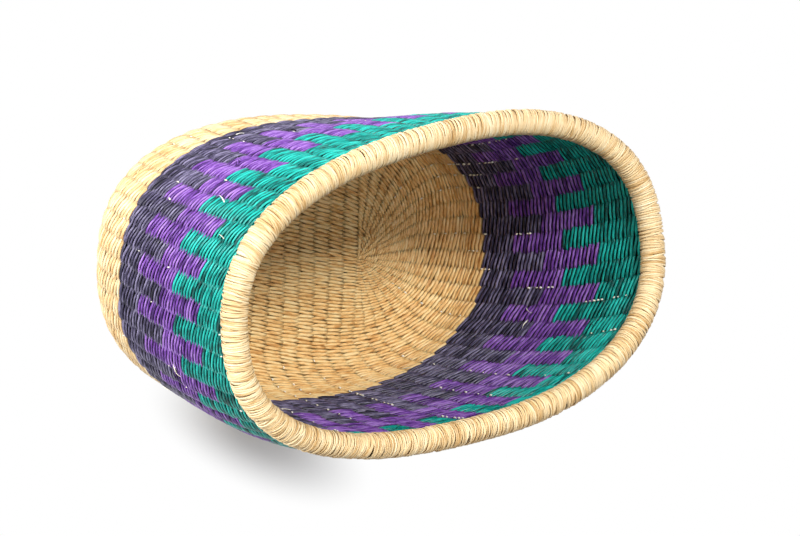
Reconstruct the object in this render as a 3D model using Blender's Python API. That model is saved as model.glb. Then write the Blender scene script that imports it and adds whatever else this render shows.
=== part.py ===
"""Oval twined straw basket, standing on its base.

Sixty-two stakes carry the weave. Eleven cross the base from side to side, and the others fan out from the two ends
of its centre line. Pairs of straw strands are twined round the stakes, one strand outside and one inside, and
they cross between one stake and the next. So each woven band is a ring with a channel for every stake. Where the
colour changes, two bands meet in steps: on the outside every second stake changes colour some rows later than its
neighbours, and on the inside it is the stakes between them. A bundled core lies on top of the wall, and a wrapping
binds it there.
"""

import math

import bmesh
import bpy
import numpy as np

# Overall form, in metres. X is the long way of the rim, and Z is up.
RIM_HALF_LENGTH = 0.1475
RIM_HALF_WIDTH = 0.0857
HEEL_HALF_LENGTH = 0.1305
HEEL_HALF_WIDTH = 0.084
HEEL_RADIUS = 0.027
SIDE_BELLY = 0.0065
SIDE_SWAY = 0.0057
RIM_WAVE_ENDS = 0.003
RIM_WAVE_CORNERS = 0.005
OVAL_POWER = 2.4
TWIST_DEGREES = 10.7

# Weave, in metres
WALL_THICKNESS = 0.0058
SKIN_THICKNESS = 0.0013
ROW_PITCH = 0.0033
PIECE_GAP = 0.0003
COLOUR_GAP = 0.0006

# Rows of twining, counted up the wall from the rounded heel
PLAIN_ROWS = 5
NAVY_ROWS = 8
NAVY_STEP_ROWS = 8
PURPLE_ROWS = 5
PURPLE_STEP_ROWS = 9
TEAL_ROWS = 10

# Stakes
CROSSING_COUNT = 11
FAN_COUNT = 20
STAKE_WIDTH = 0.0032
STAKE_SPACE = 0.0014
SPINE_HALF_LENGTH = 0.0585
SPINE_SHIFT = -0.005

# Rim
CORE_RADIUS = 0.0053
WRAP_THICKNESS = 0.0021
WRAP_LOBE_DEPTH = 0.0006
SLOT_CLEARANCE = 0.0006
CORE_CLEARANCE = 0.0012
RIM_POINTS = 6

# Worked out from the sizes above
STAKE_COUNT = 2 * (CROSSING_COUNT + FAN_COUNT)
HALF_TURN = STAKE_COUNT // 2
REACH = CROSSING_COUNT // 2
TWIST = math.radians(TWIST_DEGREES)
SPINE_DIRECTION = np.array([math.cos(TWIST), -math.sin(TWIST)])
SPINE_PITCH = 2 * SPINE_HALF_LENGTH / CROSSING_COUNT
HEEL_MIDDLE = HEEL_RADIUS * (1 - math.cos(math.pi / 4))
PLAIN_TOP = HEEL_RADIUS + PLAIN_ROWS * ROW_PITCH
NAVY_EARLY_TOP = PLAIN_TOP + NAVY_ROWS * ROW_PITCH
NAVY_LATE_TOP = NAVY_EARLY_TOP + NAVY_STEP_ROWS * ROW_PITCH
PURPLE_EARLY_TOP = NAVY_LATE_TOP + PURPLE_ROWS * ROW_PITCH
PURPLE_LATE_TOP = PURPLE_EARLY_TOP + PURPLE_STEP_ROWS * ROW_PITCH
WALL_TOP = PURPLE_LATE_TOP + TEAL_ROWS * ROW_PITCH
HALF_GAP = COLOUR_GAP / 2
HALF_SLOT = WALL_THICKNESS / 2 + SLOT_CLEARANCE
BORE_RADIUS = CORE_RADIUS + PIECE_GAP
CORE_TURN = math.asin(HALF_SLOT / BORE_RADIUS)
RIM_HEIGHT = WALL_TOP + CORE_CLEARANCE + CORE_RADIUS * math.cos(CORE_TURN)
CHANNEL_DEPTHS = (SKIN_THICKNESS, WALL_THICKNESS - SKIN_THICKNESS)
CHANNEL_WIDTH = STAKE_WIDTH + 2 * PIECE_GAP
STAKE_DEPTHS = (CHANNEL_DEPTHS[0] + PIECE_GAP, CHANNEL_DEPTHS[1] - PIECE_GAP)

# The wall is straight between these heights, so that bands and stakes bend together.
WALL_KNOTS = (HEEL_RADIUS, NAVY_LATE_TOP, PURPLE_LATE_TOP, WALL_TOP)

STRAW = (0.72, 0.53, 0.27)
PALE_STRAW = (0.80, 0.66, 0.41)
NAVY = (0.028, 0.022, 0.055)
PURPLE = (0.115, 0.035, 0.235)
TEAL = (0.012, 0.225, 0.180)


def clear_scene():
    for obj in list(bpy.data.objects):
        bpy.data.objects.remove(obj, do_unlink=True)


def make_material(name, color, roughness):
    """A dry, unpolished straw finish."""
    material = bpy.data.materials.new(name)
    material.use_nodes = True
    shader = material.node_tree.nodes["Principled BSDF"]
    shader.inputs["Base Color"].default_value = (*color, 1)
    shader.inputs["Roughness"].default_value = roughness
    shader.inputs["Metallic"].default_value = 0
    return material


def add_object(name, bm, material, smooth=False):
    """Turn a bmesh into a named object with one material."""
    bmesh.ops.recalc_face_normals(bm, faces=bm.faces)
    mesh = bpy.data.meshes.new(name)
    bm.to_mesh(mesh)
    bm.free()
    mesh.materials.append(material)
    if smooth:
        mesh.shade_smooth()
        mesh.set_sharp_from_angle(angle=math.radians(70))
    obj = bpy.data.objects.new(name, mesh)
    bpy.context.collection.objects.link(obj)
    return obj


def oval(angle, half_length, half_width):
    """A point of the oval at a polar angle, and the outward normal there."""
    cos, sin = math.cos(angle), math.sin(angle)
    reach = (abs(cos / half_length) ** OVAL_POWER + abs(sin / half_width) ** OVAL_POWER) ** (-1 / OVAL_POWER)
    point = np.array([reach * cos, reach * sin])
    slope_x = math.copysign(abs(point[0] / half_length) ** (OVAL_POWER - 1) / half_length, cos)
    slope_y = math.copysign(abs(point[1] / half_width) ** (OVAL_POWER - 1) / half_width, sin)
    return point, np.array([slope_x, slope_y]) / math.hypot(slope_x, slope_y)


def column_edges(samples_per_column=40):
    """Polar angles that part the rim's oval into equal columns. The middle of column 0 is on the +Y side."""
    turn = np.linspace(0, 2 * math.pi, STAKE_COUNT * samples_per_column + 1) + math.pi / 2
    points = np.array([oval(angle, RIM_HALF_LENGTH, RIM_HALF_WIDTH)[0] for angle in turn])
    lengths = np.concatenate([[0], np.cumsum(np.linalg.norm(np.diff(points, axis=0), axis=1))])
    wanted = (np.arange(STAKE_COUNT) - 1 / 2) / STAKE_COUNT * lengths[-1] % lengths[-1]
    return np.interp(wanted, lengths, turn)


EDGES = column_edges()


def smooth_shell_point(angle, height, depth):
    """A point of the basket's shell, depth below its outer face, where the outer face is at this height."""
    share = height / RIM_HEIGHT
    if height < HEEL_RADIUS:
        turn = math.acos(1 - height / HEEL_RADIUS)
        inset = HEEL_RADIUS - (HEEL_RADIUS - depth) * math.sin(turn)
        level = HEEL_RADIUS - (HEEL_RADIUS - depth) * math.cos(turn)
    else:
        inset = depth
        level = height
    half_length = HEEL_HALF_LENGTH + (RIM_HALF_LENGTH - HEEL_HALF_LENGTH) * share
    half_width = HEEL_HALF_WIDTH + (RIM_HALF_WIDTH - HEEL_HALF_WIDTH) * share
    half_width += SIDE_BELLY * math.sin(math.pi * share**2)
    point, normal = oval(angle, half_length, half_width)
    x, y = point - inset * normal
    twist = -TWIST * (1 - share)
    turned_x = x * math.cos(twist) - y * math.sin(twist)
    turned_y = x * math.sin(twist) + y * math.cos(twist)
    sway = -SIDE_SWAY * math.sin(math.pi * share)
    wave = -RIM_WAVE_ENDS * math.cos(2 * angle) - RIM_WAVE_CORNERS * math.sin(2 * angle)
    return np.array([turned_x, turned_y + sway, level + wave * share**2])


def shell_point(angle, height, depth):
    """The same point on the straight stretch between the wall knots below and above it."""
    for low, high in zip(WALL_KNOTS, WALL_KNOTS[1:]):
        if low < height < high:
            below = smooth_shell_point(angle, low, depth)
            above = smooth_shell_point(angle, high, depth)
            return below + (above - below) * (height - low) / (high - low)
    return smooth_shell_point(angle, height, depth)


def column_section(column, height, depths, width):
    """Four corners of a section in the middle of a column: outer left, outer right, inner right, inner left."""
    rows = []
    for depth in depths:
        left = shell_point(EDGES[column % STAKE_COUNT], height, depth)
        right = shell_point(EDGES[(column + 1) % STAKE_COUNT], height, depth)
        side = (right - left) / np.linalg.norm(right - left) * width / 2
        rows.append(((left + right) / 2 - side, (left + right) / 2 + side))
    return [rows[0][0], rows[0][1], rows[1][1], rows[1][0]]


def base_section(middle, across, depths, width):
    """The same four corners in the flat base, below and above a point, with across pointing to the right."""
    side = across * width / 2
    low, high = depths
    return [
        np.array([*(middle - side), low]),
        np.array([*(middle + side), low]),
        np.array([*(middle + side), high]),
        np.array([*(middle - side), high]),
    ]


def spine_point(distance):
    """A point of the base's centre line, this far to the right of its middle."""
    return distance * SPINE_DIRECTION + np.array([0, SPINE_SHIFT])


def spine_section(column, depths, width):
    """The section of a crossing stake where it passes the base's centre line."""
    return base_section(spine_point(-column * SPINE_PITCH), -SPINE_DIRECTION, depths, width)


def mirrored(section):
    """A section of the far side, in the order that a stake from the near side meets it."""
    return [section[1], section[0], section[3], section[2]]


def fan_columns(end):
    """The columns of one end's fan, 0 at -X and 1 at +X, in order round the basket."""
    first = REACH + 1 + end * HALF_TURN
    return range(first, first + FAN_COUNT)


def fan_starts(end):
    """Where each fan stake begins, and its direction. Every second one begins further out, where there is room."""
    focus = spine_point((2 * end - 1) * SPINE_HALF_LENGTH)
    directions = []
    for column in fan_columns(end):
        edge = np.mean(column_section(column, 0, STAKE_DEPTHS, STAKE_WIDTH), axis=0)[:2]
        directions.append((edge - focus) / np.linalg.norm(edge - focus))

    def clear_radius(step):
        closest = max(float(a @ b) for a, b in zip(directions, directions[step:]))
        return (STAKE_WIDTH + STAKE_SPACE) / (2 * math.sin(math.acos(closest) / 2))

    radii = (clear_radius(2), clear_radius(1))
    return [(focus + direction * radii[index % 2], direction) for index, direction in enumerate(directions)]


def add_side_faces(bm, lower, upper):
    """The faces between two rings of vertices."""
    for side in range(len(lower)):
        after = (side + 1) % len(lower)
        bm.faces.new([lower[side], lower[after], upper[after], upper[side]])


def make_stake(name, sections, material):
    bm = bmesh.new()
    rings = [[bm.verts.new(point) for point in section] for section in sections]
    for lower, upper in zip(rings, rings[1:]):
        add_side_faces(bm, lower, upper)
    bm.faces.new(rings[0])
    bm.faces.new(rings[-1])
    return add_object(name, bm, material)


def make_stakes(material):
    """Each stake runs between the two skins of the base and on up the wall."""
    heights = (0, HEEL_MIDDLE, *WALL_KNOTS)

    def up_the_wall(column):
        return [column_section(column, height, STAKE_DEPTHS, STAKE_WIDTH) for height in heights]

    for number, column in enumerate(range(-REACH, REACH + 1), start=1):
        far = [mirrored(section) for section in up_the_wall(HALF_TURN - column)]
        middle = spine_section(column, STAKE_DEPTHS, STAKE_WIDTH)
        make_stake(f"crossing_stake_{number:02d}", [*up_the_wall(column)[::-1], middle, *far], material)

    for end, side_name in enumerate(("left", "right")):
        starts = fan_starts(end)
        for number, (column, (start, direction)) in enumerate(zip(fan_columns(end), starts), start=1):
            across = np.array([-direction[1], direction[0]])
            first = base_section(start, across, STAKE_DEPTHS, STAKE_WIDTH)
            make_stake(f"{side_name}_stake_{number:02d}", [first, *up_the_wall(column)], material)


class WovenRing:
    """A ring of weave, built column by column, with a channel for each stake.

    Steps grow from its rows as fingers, one to a column. Rising fingers are outside on the odd columns and hanging
    ones on the even columns, and inside it is the other way round. Rising fingers fill the width of their column, and
    hanging ones leave a gap on both sides.
    """

    def __init__(self):
        self.bm = bmesh.new()
        self.vertices = {}

    def edge(self, column, height, depth):
        """The vertex at a column's left edge, which is the right edge of the column before."""
        key = ("edge", column % STAKE_COUNT, height, depth)
        if key not in self.vertices:
            point = shell_point(EDGES[column % STAKE_COUNT], height, depth)
            self.vertices[key] = self.bm.verts.new(point)
        return self.vertices[key]

    def edges(self, column, height, depth):
        """The vertices at a column's left and right edges."""
        return [self.edge(column, height, depth), self.edge(column + 1, height, depth)]

    def insets(self, column, height, depth):
        """The vertices half a gap in from a column's left and right edges."""
        key = ("insets", column, height, depth)
        if key not in self.vertices:
            left = shell_point(EDGES[column % STAKE_COUNT], height, depth)
            right = shell_point(EDGES[(column + 1) % STAKE_COUNT], height, depth)
            step = (right - left) / np.linalg.norm(right - left) * HALF_GAP
            self.vertices[key] = [self.bm.verts.new(left + step), self.bm.verts.new(right - step)]
        return self.vertices[key]

    def channel(self, column, height):
        """The four vertices of a stake's channel: outer left, outer right, inner right, inner left."""
        key = ("channel", column % STAKE_COUNT, height)
        if key not in self.vertices:
            section = column_section(column, height, CHANNEL_DEPTHS, CHANNEL_WIDTH)
            self.vertices[key] = [self.bm.verts.new(point) for point in section]
        return self.vertices[key]

    def channel_sides(self, column, height, depth):
        """The channel's left and right vertices at one of its two depths."""
        outer_left, outer_right, inner_right, inner_left = self.channel(column, height)
        return [outer_left, outer_right] if depth == CHANNEL_DEPTHS[0] else [inner_left, inner_right]

    @staticmethod
    def finger_depths(column, hanging):
        """Four depths through the weave, from the face that the column's finger is on to the other face."""
        depths = [0, *CHANNEL_DEPTHS, WALL_THICKNESS]
        outside = (column % 2 == 0) == hanging
        return depths if outside else depths[::-1]

    def add_rows(self, heights, has_hanging=False):
        """Unbroken rows between the first height and the last, with their channels."""
        for column in range(STAKE_COUNT):
            for low, high in zip(heights, heights[1:]):
                for depth in (0, WALL_THICKNESS):
                    bottom = self.edges(column, low, depth)
                    if has_hanging and depth == self.finger_depths(column, hanging=True)[0]:
                        bottom[1:1] = self.insets(column, low, depth)
                    self.bm.faces.new(bottom + self.edges(column, high, depth)[::-1])
                add_side_faces(self.bm, self.channel(column, low), self.channel(column, high))

    def add_level_end(self, height):
        """A level top or bottom."""
        for column in range(STAKE_COUNT):
            corners = self.edges(column, height, 0) + self.edges(column, height, WALL_THICKNESS)[::-1]
            add_side_faces(self.bm, corners, self.channel(column, height))

    def add_finger(self, root, behind, front_tip, back_tip):
        """A finger's faces. root and behind run from left to right along its foot, in front and behind."""
        self.bm.faces.new([*root, *front_tip[::-1]])
        self.bm.faces.new([*behind, *back_tip[::-1]])
        self.bm.faces.new([*front_tip, *back_tip[::-1]])
        for side in (0, -1):
            self.bm.faces.new([root[side], front_tip[side], back_tip[side], behind[side]])

    def add_rising_fingers(self, height, tip_height):
        """The top of the rows, with a finger on one face of each column."""
        for column in range(STAKE_COUNT):
            face, near, far, far_face = self.finger_depths(column, hanging=False)
            near_channel = self.channel_sides(column, height, near)
            far_channel = self.channel_sides(column, height, far)
            near_edges = self.edges(column, height, near)
            far_edges = self.edges(column, height, far)
            for side in (0, 1):
                self.bm.faces.new([near_edges[side], near_channel[side], far_channel[side], far_edges[side]])
            ledge = self.edges(column, height, far_face)[::-1]
            self.bm.faces.new([far_edges[0], *far_channel, far_edges[1], *ledge])
            self.add_finger(
                root=self.edges(column, height, face),
                behind=[near_edges[0], *near_channel, near_edges[1]],
                front_tip=self.edges(column, tip_height, face),
                back_tip=self.edges(column, tip_height, near),
            )

    def add_hanging_fingers(self, height, tip_height):
        """The bottom of the rows, with a finger on one face of each column, half a gap in from its edges."""
        for column in range(STAKE_COUNT):
            face, near, far, far_face = self.finger_depths(column, hanging=True)
            near_channel = self.channel_sides(column, height, near)
            far_channel = self.channel_sides(column, height, far)
            root = self.insets(column, height, face)
            behind = self.insets(column, height, near)
            corners = self.edges(column, height, face)
            far_corners = self.edges(column, height, far_face)
            for side in (0, 1):
                inner_side = [root[side], behind[side], near_channel[side], far_channel[side]]
                self.bm.faces.new([corners[side], *inner_side, far_corners[side]])
            self.bm.faces.new([*far_channel, *far_corners[::-1]])
            self.add_finger(
                root=root,
                behind=[behind[0], *near_channel, behind[1]],
                front_tip=self.insets(column, tip_height, face),
                back_tip=self.insets(column, tip_height, near),
            )

    def add_floor(self):
        """The flat base inside the ring, with the stakes' channels running through it."""
        for depth in (0, WALL_THICKNESS):
            self.bm.faces.new([self.edge(column, 0, depth) for column in range(STAKE_COUNT)])
        for column in range(-REACH, REACH + 1):
            section = spine_section(column, CHANNEL_DEPTHS, CHANNEL_WIDTH)
            middle = [self.bm.verts.new(point) for point in section]
            add_side_faces(self.bm, self.channel(column, 0), middle)
            add_side_faces(self.bm, middle, mirrored(self.channel(HALF_TURN - column, 0)))
        for end in (0, 1):
            for column, (start, direction) in zip(fan_columns(end), fan_starts(end)):
                across = np.array([-direction[1], direction[0]])
                section = base_section(start - direction * PIECE_GAP, across, CHANNEL_DEPTHS, CHANNEL_WIDTH)
                blind_end = [self.bm.verts.new(point) for point in section]
                add_side_faces(self.bm, blind_end, self.channel(column, 0))
                self.bm.faces.new(blind_end)


def make_weave(base_straw, navy_straw, purple_straw, teal_straw):
    """The plain base and the three coloured bands, from the bottom up."""
    base = WovenRing()
    base.add_floor()
    base.add_rows((0, HEEL_MIDDLE, HEEL_RADIUS, PLAIN_TOP - HALF_GAP))
    base.add_level_end(PLAIN_TOP - HALF_GAP)
    add_object("base_weave", base.bm, base_straw)

    navy = WovenRing()
    navy.add_level_end(PLAIN_TOP + HALF_GAP)
    navy.add_rows((PLAIN_TOP + HALF_GAP, NAVY_EARLY_TOP - HALF_GAP))
    navy.add_rising_fingers(NAVY_EARLY_TOP - HALF_GAP, NAVY_LATE_TOP - HALF_GAP)
    add_object("navy_weave", navy.bm, navy_straw)

    purple = WovenRing()
    purple.add_hanging_fingers(NAVY_LATE_TOP + HALF_GAP, NAVY_EARLY_TOP + HALF_GAP)
    purple.add_rows((NAVY_LATE_TOP + HALF_GAP, PURPLE_EARLY_TOP - HALF_GAP), has_hanging=True)
    purple.add_rising_fingers(PURPLE_EARLY_TOP - HALF_GAP, PURPLE_LATE_TOP - HALF_GAP)
    add_object("purple_weave", purple.bm, purple_straw)

    teal = WovenRing()
    teal.add_hanging_fingers(PURPLE_LATE_TOP + HALF_GAP, PURPLE_EARLY_TOP + HALF_GAP)
    teal.add_rows((PURPLE_LATE_TOP + HALF_GAP, WALL_TOP), has_hanging=True)
    teal.add_level_end(WALL_TOP)
    add_object("teal_weave", teal.bm, teal_straw)


def rim_frame(angle):
    """The rim's centre at a polar angle, with the wall's outward and upward directions there."""
    middle = WALL_THICKNESS / 2
    wall_top = shell_point(angle, WALL_TOP, middle)
    upward = wall_top - shell_point(angle, PURPLE_LATE_TOP, middle)
    upward /= np.linalg.norm(upward)
    outward = shell_point(angle, WALL_TOP, 0) - wall_top
    outward -= upward * (outward @ upward)
    centre = wall_top + upward * (RIM_HEIGHT - WALL_TOP)
    return centre, outward / np.linalg.norm(outward), upward


def make_rim_ring(name, section_of, material):
    """A closed ring round the rim. section_of gives the (outward, upward) points at a column's edge."""
    bm = bmesh.new()
    rings = []
    for index, angle in enumerate(EDGES):
        centre, outward, upward = rim_frame(angle)
        points = [centre + outward * across + upward * up for across, up in section_of(index)]
        rings.append([bm.verts.new(point) for point in points])
    for index, ring in enumerate(rings):
        add_side_faces(bm, ring, rings[(index + 1) % len(rings)])
    return add_object(name, bm, material, smooth=True)


def arc(radius, start):
    """Points of an arc that is open below, from an angle off straight down to the same angle on the other side."""
    turns = np.linspace(start, 2 * math.pi - start, RIM_POINTS)
    return [(radius * math.sin(turn), -radius * math.cos(turn)) for turn in turns]


def make_rim(core_straw, wrap_straw):
    """The bundle of stake ends on top of the wall, and the wrapping round it, open below where the wall comes in."""

    def wrap_section(index):
        radius = BORE_RADIUS + WRAP_THICKNESS - WRAP_LOBE_DEPTH * (index % 2)
        outside = arc(radius, math.asin(HALF_SLOT / radius))
        return outside + arc(BORE_RADIUS, CORE_TURN)[::-1]

    make_rim_ring("rim_core", lambda index: arc(CORE_RADIUS, CORE_TURN), core_straw)
    make_rim_ring("rim_wrap", wrap_section, wrap_straw)


def main():
    clear_scene()
    stake_straw = make_material("stake_straw", STRAW, 0.75)
    base_straw = make_material("base_straw", STRAW, 0.7)
    navy_straw = make_material("navy_straw", NAVY, 0.6)
    purple_straw = make_material("purple_straw", PURPLE, 0.6)
    teal_straw = make_material("teal_straw", TEAL, 0.6)
    rim_straw = make_material("rim_straw", PALE_STRAW, 0.6)
    make_stakes(stake_straw)
    make_weave(base_straw, navy_straw, purple_straw, teal_straw)
    make_rim(stake_straw, rim_straw)


main()
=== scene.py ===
import logging
import math
from collections import defaultdict
from dataclasses import dataclass, field
from enum import Enum
from typing import Any

import bmesh
import bpy
import numpy as np
from mathutils import Matrix, Vector


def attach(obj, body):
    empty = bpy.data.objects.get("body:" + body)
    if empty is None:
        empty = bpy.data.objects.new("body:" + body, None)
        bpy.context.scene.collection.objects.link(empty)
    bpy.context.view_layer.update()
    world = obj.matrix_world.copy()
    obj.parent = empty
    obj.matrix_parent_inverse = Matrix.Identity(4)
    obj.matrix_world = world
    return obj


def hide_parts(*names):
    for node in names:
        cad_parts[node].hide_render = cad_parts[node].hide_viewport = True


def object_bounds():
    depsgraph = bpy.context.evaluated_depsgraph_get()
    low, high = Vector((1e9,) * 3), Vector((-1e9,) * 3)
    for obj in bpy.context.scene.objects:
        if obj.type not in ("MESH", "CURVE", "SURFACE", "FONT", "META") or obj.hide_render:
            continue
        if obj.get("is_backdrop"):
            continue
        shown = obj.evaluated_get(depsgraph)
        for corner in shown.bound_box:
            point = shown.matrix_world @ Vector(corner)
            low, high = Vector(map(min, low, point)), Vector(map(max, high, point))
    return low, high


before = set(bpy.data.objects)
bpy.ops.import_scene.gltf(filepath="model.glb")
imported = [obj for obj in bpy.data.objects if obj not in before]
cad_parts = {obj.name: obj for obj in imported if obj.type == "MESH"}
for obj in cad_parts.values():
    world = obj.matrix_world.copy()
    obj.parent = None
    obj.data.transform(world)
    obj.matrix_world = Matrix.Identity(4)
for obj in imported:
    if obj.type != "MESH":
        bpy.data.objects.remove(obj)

log = logging.getLogger("bolga_basket")

CAD_BOX = [[float(value) for value in corner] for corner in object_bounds()]


class Face(Enum):
    """The two faces of the basket's wall and base."""

    OUTSIDE = 1
    INSIDE = -1


class Dye(Enum):
    """The straws that the basket is twined from."""

    NATURAL = "natural"
    BLEACHED = "bleached"
    NAVY = "navy"
    PURPLE = "purple"
    TEAL = "teal"
    RIM = "rim"
    STAKE = "stake"
    SPECK = "speck"


# The material slot of each straw, and the CAD node that its weave replaces.
SLOTS: dict[Dye, str] = {
    Dye.NATURAL: "base_straw",
    Dye.BLEACHED: "base_straw",
    Dye.NAVY: "navy_straw",
    Dye.PURPLE: "purple_straw",
    Dye.TEAL: "teal_straw",
    Dye.RIM: "rim_straw",
    Dye.STAKE: "stake_straw",
    Dye.SPECK: "stake_straw",
}
NODES: dict[Dye, str] = {
    Dye.NATURAL: "base_weave",
    Dye.BLEACHED: "base_weave",
    Dye.NAVY: "navy_weave",
    Dye.PURPLE: "purple_weave",
    Dye.TEAL: "teal_weave",
}


# Shared helpers


def unit(ways: np.ndarray) -> np.ndarray:
    """Directions brought to length 1."""
    return ways / np.linalg.norm(ways, axis=-1, keepdims=True)


def lengths_along(points: np.ndarray) -> np.ndarray:
    """How far along its path each point lies."""
    return np.concatenate([[0], np.cumsum(np.linalg.norm(np.diff(points, axis=0), axis=1))])


def put(name: str, data: bpy.types.ID) -> bpy.types.Object:
    """A new object in the scene, at the origin."""
    made = bpy.data.objects.new(name, data)
    bpy.context.scene.collection.objects.link(made)
    return made


# The basket's form


@dataclass(frozen=True)
class BasketForm:
    """The basket's skin, its stakes' columns and its twining's rows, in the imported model's sizes."""

    rim_half_length: float = 0.1475
    rim_half_width: float = 0.0857
    heel_half_length: float = 0.1305
    heel_half_width: float = 0.084
    heel_radius: float = 0.027
    side_belly: float = 0.0065
    side_sway: float = 0.0057
    wave_ends: float = 0.003
    wave_corners: float = 0.005
    oval_power: float = 2.4
    twist: float = math.radians(10.7)
    wall: float = 0.0058
    row_pitch: float = 0.0033
    wall_rows: int = 45
    heel_rows: int = 16
    base_rows: int = 24
    base_pitch: float = 0.0019
    base_growth: float = 0.000006
    columns: int = 62
    crossing: int = 11
    spine_half_length: float = 0.0585
    spine_shift: float = -0.005
    rim_height: float = 0.18084
    rim_lead: int = 10
    column_steps: int = 40
    near: float = 0.1

    @property
    def first_row(self) -> int:
        """The row on the base's centre line. Row 0 is the first above the heel."""
        return -self.heel_rows - self.base_rows

    @property
    def side_reach(self) -> int:
        """The crossing stakes to either side of the middle one."""
        return (self.crossing - 1) // 2

    @property
    def fan(self) -> int:
        """The stakes in the fan at each end of the centre line."""
        return self.columns // 2 - self.crossing

    def base_reach(self, count: float | np.ndarray) -> float | np.ndarray:
        """How far a number of rows reaches from the centre line."""
        return self.base_pitch * count + self.base_growth * count**2

    def oval(
        self, angle: np.ndarray, half_length: np.ndarray, half_width: np.ndarray
    ) -> tuple[np.ndarray, np.ndarray]:
        """Points and outward directions on a superellipse.

        Args:
            angle: Polar angles.
            half_length: Half of the oval's length at each angle.
            half_width: Half of its width at each angle.

        Returns:
            The points and the unit normals, each as rows of x and y.
        """
        cosine, sine = np.cos(angle), np.sin(angle)
        power = self.oval_power
        radius = (np.abs(cosine / half_length) ** power + np.abs(sine / half_width) ** power) ** (-1 / power)
        point = np.stack([radius * cosine, radius * sine], axis=-1)
        slope = np.stack(
            [
                np.sign(cosine) * np.abs(point[..., 0] / half_length) ** (power - 1) / half_length,
                np.sign(sine) * np.abs(point[..., 1] / half_width) ** (power - 1) / half_width,
            ],
            axis=-1,
        )
        return point, unit(slope)

    def column_angle(self, column: np.ndarray) -> np.ndarray:
        """Polar angles of columns. Column 0 is at +Y and they run anticlockwise, seen from above.

        Args:
            column: Columns, whole or not.

        Returns:
            Their angles.
        """
        turn = np.linspace(0, 2 * math.pi, self.column_steps * self.columns + 1) + math.pi / 2
        halves = (np.full_like(turn, half) for half in (self.rim_half_length, self.rim_half_width))
        points, _ = self.oval(turn, *halves)
        lengths = lengths_along(points)
        share = np.asarray(column, dtype=float) / self.columns
        return np.interp((share % 1) * lengths[-1], lengths, turn) + 2 * math.pi * np.floor(share)

    def shell_point(self, angle: np.ndarray, height: np.ndarray, depth: np.ndarray) -> np.ndarray:
        """Points of the shell.

        Args:
            angle: Polar angles.
            height: Heights where the shell's outer face passes.
            depth: How far the points lie below the outer face.

        Returns:
            The points, as rows of x, y and z.
        """
        share = height / self.rim_height
        on_heel = height < self.heel_radius
        turn = np.arccos(np.clip(1 - height / self.heel_radius, -1, 1))
        inset = np.where(on_heel, self.heel_radius - (self.heel_radius - depth) * np.sin(turn), depth)
        level = np.where(on_heel, self.heel_radius - (self.heel_radius - depth) * np.cos(turn), height)
        half_length = self.heel_half_length + (self.rim_half_length - self.heel_half_length) * share
        half_width = self.heel_half_width + (self.rim_half_width - self.heel_half_width) * share
        half_width = half_width + self.side_belly * np.sin(math.pi * share**2)
        point, normal = self.oval(angle, half_length, half_width)
        point = point - inset[..., None] * normal
        turned = -self.twist * (1 - share)
        x = np.cos(turned) * point[..., 0] - np.sin(turned) * point[..., 1]
        y = np.sin(turned) * point[..., 0] + np.cos(turned) * point[..., 1]
        y = y - self.side_sway * np.sin(math.pi * share)
        wave = (-self.wave_ends * np.cos(2 * angle) - self.wave_corners * np.sin(2 * angle)) * share**2
        return np.stack([x, y, level + wave], axis=-1)

    def spine_point(self, column: np.ndarray) -> np.ndarray:
        """Where each column leaves the base's centre line.

        Args:
            column: Columns, whole or not.

        Returns:
            The points, as rows of x and y.
        """
        turns = np.floor(column / self.columns + 0.5)
        near = column - turns * self.columns
        half_turn = self.columns / 2
        mirrored = np.where(np.abs(near) > half_turn / 2, np.sign(near) * half_turn - near, near)
        reach = np.clip(mirrored, -self.crossing / 2, self.crossing / 2) / (self.crossing / 2)
        along = -reach * self.spine_half_length
        y = self.spine_shift - along * math.sin(self.twist)
        return np.stack([along * math.cos(self.twist), y], axis=-1)

    def place(self, column: np.ndarray, row: np.ndarray, depth: np.ndarray) -> np.ndarray:
        """Points by column and row, on the base, the heel and the wall alike.

        Args:
            column: Columns, whole at a stake's middle.
            row: Rows, counted from the top of the heel, so that the heel's and the base's are negative.
            depth: How far the points lie below the outer face.

        Returns:
            The points, as rows of x, y and z.
        """
        given = (np.asarray(value, dtype=float) for value in (column, row, depth))
        column, row, depth = np.broadcast_arrays(*given)
        angle = self.column_angle(column)
        turn = np.clip((row + self.heel_rows) / self.heel_rows, 0, 1) * math.pi / 2
        on_heel = self.heel_radius * (1 - np.cos(turn))
        height = np.where(row < 0, on_heel, self.heel_radius + row * self.row_pitch)
        point = self.shell_point(angle, height, depth)
        count = np.clip(row - self.first_row, 0, self.base_rows)
        share = (self.base_reach(count) / self.base_reach(self.base_rows))[..., None]
        start = self.spine_point(column)
        on_base = (row < -self.heel_rows)[..., None]
        flat = start + (point[..., :2] - start) * share
        point[..., :2] = np.where(on_base, flat, point[..., :2])
        return point

    def beside(
        self, column: np.ndarray, row: np.ndarray, depth: np.ndarray, columns: np.ndarray
    ) -> np.ndarray:
        """The way from so many columns before a point to so many after it."""
        return self.place(column + columns, row, depth) - self.place(column - columns, row, depth)

    def above(self, column: np.ndarray, row: np.ndarray, depth: np.ndarray, rows: float) -> np.ndarray:
        """The way from so many rows below a point, or the centre line, to so many above it."""
        below = self.place(column, np.maximum(row - rows, self.first_row), depth)
        return self.place(column, row + rows, depth) - below

    def spot(
        self, column: np.ndarray, row: np.ndarray, depth: np.ndarray
    ) -> tuple[np.ndarray, np.ndarray, np.ndarray]:
        """Points, with the directions along the rows and up the stakes there."""
        where = (column, row, depth)
        return self.place(*where), self.beside(*where, self.near), self.above(*where, self.near)

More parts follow.
